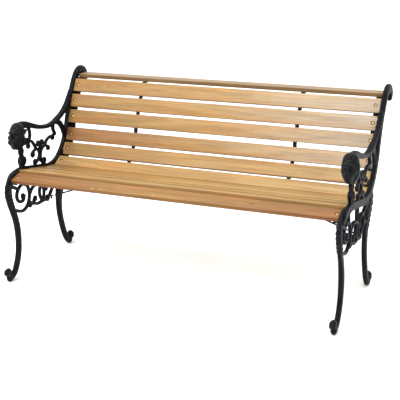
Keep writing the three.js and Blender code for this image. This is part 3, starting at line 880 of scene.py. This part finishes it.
def set_on_slat(piece, slat, x, above):
    """Moves a shape made about local Z so that its axis stands on the slat's face."""
    place = Matrix.Translation(Vector((x, *slat.at(0, above))) * MM)
    piece.data.transform(place @ Matrix.Rotation(slat.tilt, 4, "X"))
    return piece


def slat_mesh(slat):
    half_width, half_length = SLAT_WIDTH / 2, SLAT_HALF_LENGTH
    corner = []
    for centre, start in (
        ((half_width, 0), 0), ((-half_width, 0), 90),
        ((-half_width, -SLAT_THICKNESS), 180), ((half_width, -SLAT_THICKNESS), 270),
    ):
        inset = (
            centre[0] - math.copysign(EDGE_ROUND, centre[0]),
            centre[1] + (-EDGE_ROUND if start < 180 else EDGE_ROUND),
        )
        for k in range(5):
            a = math.radians(start + 22.5 * k)
            corner.append((inset[0] + EDGE_ROUND * math.cos(a), inset[1] + EDGE_ROUND * math.sin(a)))
    middle = (0, -SLAT_THICKNESS / 2)

    def ring(x, shrink):
        scale = (1 - shrink / half_width, 1 - 2 * shrink / SLAT_THICKNESS)
        return [
            Vector((x, *slat.at(f * scale[0], middle[1] + (u - middle[1]) * scale[1]))) * MM
            for f, u in corner
        ]

    stops = [(-half_length, 1.2), (-half_length + 0.4, 0.4), (-half_length + 1.2, 0)]
    stops += [(x, 0) for x in np.linspace(-half_length + 40, half_length - 40, 13)]
    stops += [(half_length - 1.2, 0), (half_length - 0.4, 0.4), (half_length, 1.2)]
    shell = Shell()
    shell.loft([ring(x, shrink) for x, shrink in stops])
    piece = mesh_object(f"{slat.name}_wood", shell.vertices, shell.faces)
    for x in (-BOLT_X, BOLT_X):
        mouth = COUNTERBORE_RADIUS + 0.9  # the counterbore's eased edge
        hole = turned("hole", [
            (0, -SLAT_THICKNESS - 5), (BOLT_HOLE_RADIUS, -SLAT_THICKNESS - 5),
            (BOLT_HOLE_RADIUS, -COUNTERBORE_DEPTH), (COUNTERBORE_RADIUS, -COUNTERBORE_DEPTH),
            (COUNTERBORE_RADIUS, -0.5), (mouth, 0.4), (mouth, 5), (0, 5),
        ])
        cut(piece, set_on_slat(hole, slat, x, 0))
    return shade(piece, 30)


def hexagon_prism(name, across, low, high):
    """A nut with chamfered corners."""
    radius = across / math.sqrt(3)
    end = radius * 0.86
    return turned(name, [
        (0, low), (end, low), (radius, low + 0.7), (radius, high - 0.7), (end, high), (0, high),
    ], sides=6)


def slat_bolt(slat, side):
    """A domed bolt in the counterbore, with its washer and nut under the ledge."""
    seat = -COUNTERBORE_DEPTH + 0.3
    under = -(SLAT_THICKNESS + 0.5 + LEDGE_THICKNESS)
    head = turned("head", [
        (0, under - 8.5), (2.6, under - 8.5), (3.0, under - 8.0), (3.0, seat), (6.0, seat), (6.2, seat + 0.5),
        (5.9, seat + 1.3), (4.9, seat + 2.3), (3.2, seat + 3.0), (1.6, seat + 3.25), (0, seat + 3.3),
    ])
    washer = turned("washer", [
        (0, under - 1.4), (6.0, under - 1.4), (6.4, under - 1.1), (6.4, under - 0.3), (6.0, under - 0.1),
        (0, under - 0.1),
    ])
    nut = hexagon_prism("nut", 10.0, under - 6.5, under - 1.5)
    piece = joined([head, washer, nut], f"{slat.name}_bolt_set_{side}")
    x = BOLT_X if side == "right" else -BOLT_X
    return shade(set_on_slat(piece, slat, x, 0), 35)


# Tones of the oiled wood.
RED_BROWN = (0.22, 0.10, 0.03)
BROWN = (0.26, 0.14, 0.04)
HONEY = (0.34, 0.20, 0.07)
PALE_HONEY = (0.38, 0.25, 0.11)
PALE = (0.40, 0.31, 0.22)
GREYED = (0.24, 0.16, 0.08)
PALE_MARK = (0.48, 0.31, 0.18)
DARK_KNOT = (0.10, 0.045, 0.02)
# Edge darkening for the slats: partly oil in the sawn wood, partly painted shade on edge faces turned from
# the light. The nosing, the front seat slat and the top slat, whose front edges face forward away from the
# light above, get a deeper painted shade.
EDGE_STAIN_AND_SHADE = (0.85, 0.80, 0.75)
DARK_EDGE_STAIN_AND_SHADE = (0.72, 0.64, 0.54)
DEEP_EDGE_SHADE_SLATS = ("nosing_slat", "seat_slat_1", "top_slat")

# Each slat's tone at its left end, middle and right end, where its own stretch of the tree lies,
# and its knots as [along, across, size, colour].
SLAT_LOOKS = {
    "nosing_slat": ((RED_BROWN, BROWN, RED_BROWN), 0.0, (14, -46), [
        (-280, -17, 3.4, PALE_MARK), (-245, -17, 3.2, PALE_MARK), (-43, -16, 3.0, PALE_MARK),
        (312, -4, 6.5, DARK_KNOT),
    ]),
    "seat_slat_1": ((HONEY, PALE_HONEY, HONEY), 1.7, (-22, -52), []),
    "seat_slat_2": ((HONEY, HONEY, HONEY), 3.1, (8, -70), []),
    "seat_slat_3": ((BROWN, PALE_HONEY, PALE_HONEY), 4.6, (30, -48), []),
    "seat_slat_4": ((BROWN, HONEY, HONEY), 6.2, (-12, -60), []),
    "seat_slat_5": ((HONEY, HONEY, PALE_HONEY), 7.9, (20, -44), []),
    "back_slat_1": ((BROWN, HONEY, PALE_HONEY), 9.3, (-30, -55), []),
    "back_slat_2": ((RED_BROWN, HONEY, PALE), 11.1, (6, -47), []),
    "back_slat_3": ((BROWN, HONEY, PALE), 12.8, (-18, -65), []),
    "back_slat_4": ((BROWN, HONEY, PALE), 14.2, (26, -50), []),
    "back_slat_5": ((BROWN, HONEY, PALE), 16.0, (-6, -58), []),
    "top_slat": ((GREYED, GREYED, GREYED), 17.7, (12, -66), []),
}


def make_slats():
    for slat in SLATS:
        tones, shift, pith, knots = SLAT_LOOKS[slat.name]
        # Darker edges: partly oil stain, partly painted shade, deeper on the three slats with forward-facing
        # edges.
        edge_darkening = DARK_EDGE_STAIN_AND_SHADE if slat.name in DEEP_EDGE_SHADE_SLATS else EDGE_STAIN_AND_SHADE
        wood = slat_wood(slat, tones, shift, pith, knots, edge_darkening)
        finish_piece(slat_mesh(slat), wood, "slat_wood", slat.name)
        for side in SIDES:
            finish_piece(slat_bolt(slat, side), BRASS, "bolt_brass", f"{slat.name}_bolt_{side}")


# ---- Straps and stays --------------------------------------------------------------------------

STRAP_INSET = 12.0  # a strap starts this far behind the nosing's front edge
STRAP_GAP = 0.3
STRAP_THICKNESS = 4.0


def strap_screw(slat, x, index, side):
    """A slotted pan-head screw under the strap."""
    under = -(SLAT_THICKNESS + STRAP_GAP + STRAP_THICKNESS)
    screw = turned("screw", [
        (0, under - 2.6), (1.8, under - 2.5), (3.2, under - 2.0), (4.2, under - 0.9), (4.4, under),
        (0, under),
    ], sides=24)
    slot_cutter = box_object("slot", (-6, -0.5, under - 4), (6, 0.5, under - 1.7))
    cut(screw, slot_cutter)
    screw.name = f"strap_screw_{side}_{index}"
    return shade(set_on_slat(screw, slat, x, 0), 35)


def make_straps():
    for side in SIDES:
        low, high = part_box(f"support_strap_{side}")
        strap = band_below_slats(
            f"support_strap_bar_{side}", SLAT_THICKNESS + STRAP_GAP, STRAP_THICKNESS,
            low.x / MM, high.x / MM, STRAP_INSET
        )
        shade(bevelled(strap, 0.8), 35)
        finish_piece(strap, STEEL, "painted_steel", f"support_strap_{side}")
        for i, slat in enumerate(SLATS):
            screw = strap_screw(slat, (low.x + high.x) / 2 / MM, i + 1, side)
            finish_piece(screw, STEEL, "painted_steel")


STAY_RADIUS = 2.8
EYE_RADIUS = 8.0
EYE_HALF_THICKNESS = 1.5


def centre(node):
    low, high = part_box(node)
    return (np.array(low) + np.array(high)) / 2 / MM


def make_stays():
    for side in SIDES:
        low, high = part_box(f"stay_{side}")
        outer, inner = centre(f"stay_bolt_outer_{side}"), centre(f"stay_bolt_inner_{side}")
        outer[2] = low.z / MM + EYE_HALF_THICKNESS
        inner[2] = high.z / MM - EYE_HALF_THICKNESS
        shell = Shell()
        along = (inner - outer) / np.linalg.norm(inner - outer)
        shell.tube([
            (*(outer + along * 3), 1.5), (*(outer + along * 16), 2.0), (*(outer + along * 24), STAY_RADIUS),
            (*((outer + inner) / 2), STAY_RADIUS), (*(inner - along * 24), STAY_RADIUS),
            (*(inner - along * 16), 2.0), (*(inner - along * 3), 1.5),
        ], step=4.0, sides=14)
        for eye in (outer, inner):
            shell.blob(eye, (EYE_RADIUS, EYE_RADIUS, EYE_HALF_THICKNESS), sides=28)
            shell.blob(eye, (EYE_RADIUS * 0.8, EYE_RADIUS * 0.8, EYE_HALF_THICKNESS * 1.25), sides=24)
        for eye, sense in ((outer, 1), (inner, -1)):
            flat = eye + along * sense * 9
            shell.blob(flat, (9.0, 4.2, 1.6), [along, np.cross((0, 0, 1), along), (0, 0, 1)])
        stay = mesh_object(f"stay_rod_{side}", np.array(shell.vertices) * MM, shell.faces)
        fused(stay, 0.7, 1)
        finish_piece(shade(stay), STEEL, "painted_steel", f"stay_{side}")
        for where, up in (("outer", 1), ("inner", -1)):
            low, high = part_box(f"stay_bolt_{where}_{side}")
            length = (high.z - low.z) / MM
            bolt = turned(f"stay_bolt_set_{where}_{side}", [
                (0, -length + 3), (2.3, -length + 3), (2.5, -length + 3.3), (2.5, 0), (5.0, 0), (5.2, 0.4),
                (4.9, 1.2), (3.9, 2.2), (2.2, 2.9), (0, 3.1),
            ])
            nut = hexagon_prism("nut", 8.0, -length + 4.0, -length + 8.0)
            bolt = joined([bolt, nut], f"stay_bolt_set_{where}_{side}")
            seat = (high.z / MM - 3) if up > 0 else (low.z / MM + 3)
            x, y, _ = centre(f"stay_bolt_{where}_{side}")
            turn = Matrix.Identity(4) if up > 0 else Matrix.Rotation(math.pi, 4, "X")
            bolt.data.transform(Matrix.Translation(Vector((x, y, seat)) * MM) @ turn)
            finish_piece(shade(bolt), STEEL, "painted_steel", f"stay_bolt_{where}_{side}")


# ---- Studio ------------------------------------------------------------------------------------


CAMERA_TURN, CAMERA_TILT, CAMERA_ROLL = 24.05, 18.64, -1.5  # degrees
CAMERA_LENS, SENSOR_WIDTH = 87.84, 36
CAMERA_PLACE = (1.3943, -2.7576, 1.4280)  # metres, with the depth from depth zero


def make_camera():
    yaw, pitch, roll = (math.radians(a) for a in (CAMERA_TURN, CAMERA_TILT, CAMERA_ROLL))
    view = Vector((-math.sin(yaw) * math.cos(pitch), math.cos(yaw) * math.cos(pitch), -math.sin(pitch)))
    level = Vector((math.cos(yaw), math.sin(yaw), 0))
    upright = level.cross(view)
    right = level * math.cos(roll) + upright * math.sin(roll)
    up = upright * math.cos(roll) - level * math.sin(roll)
    data = bpy.data.cameras.new("camera")
    data.lens = CAMERA_LENS
    data.sensor_width = SENSOR_WIDTH
    camera = bpy.data.objects.new("camera", data)
    place = Matrix((right, up, -view)).transposed().to_4x4()
    x, y, z = CAMERA_PLACE
    place.translation = (x, y + DEPTH_ZERO * MM, z)
    camera.matrix_world = place
    bpy.context.scene.collection.objects.link(camera)
    bpy.context.scene.camera = camera


def area_light(name, place, target, size, power, colour=(1, 1, 1)):
    data = bpy.data.lights.new(name, "AREA")
    data.shape = "RECTANGLE"
    data.size, data.size_y = size
    data.energy = power
    data.color = colour
    light = bpy.data.objects.new(name, data)
    light.location = place
    light.rotation_euler = (Vector(target) - Vector(place)).to_track_quat("-Z", "Y").to_euler()
    bpy.context.scene.collection.objects.link(light)


def make_studio():
    floor = box_object("studio_floor", (-16000, -9000, -30), (16000, 16000, -0.5))
    paper = Nodes("studio_paper")
    tone = paper.noise(paper.place(), 3.0, 2, 0.5)
    paper.link(paper.ramp(tone, (0.3, 0.93), (0.7, 0.95)), paper.shader.inputs["Base Color"])
    paper.shader.inputs["Roughness"].default_value = 0.9
    floor.data.materials.append(paper.material)
    world = bpy.data.worlds.new("studio")
    bpy.context.scene.world = world
    world.use_nodes = True
    world.node_tree.nodes["Background"].inputs["Color"].default_value = (1, 1, 1, 1)
    world.node_tree.nodes["Background"].inputs["Strength"].default_value = 1.4
    middle = (0, 0, 0.35)
    area_light("key", (-1.8, -2.8, 3.4), middle, (1.3, 1.3), 120, (1.0, 0.985, 0.96))
    area_light("fill", (3.2, -1.6, 2.2), middle, (2.4, 2.4), 10, (0.96, 0.98, 1.0))
    area_light("top", (0, 0.6, 3.6), middle, (3.0, 2.0), 60)


bpy.context.scene.view_settings.view_transform = "Standard"
make_studio()
make_camera()
make_end_castings()
make_slats()
make_straps()
make_stays()
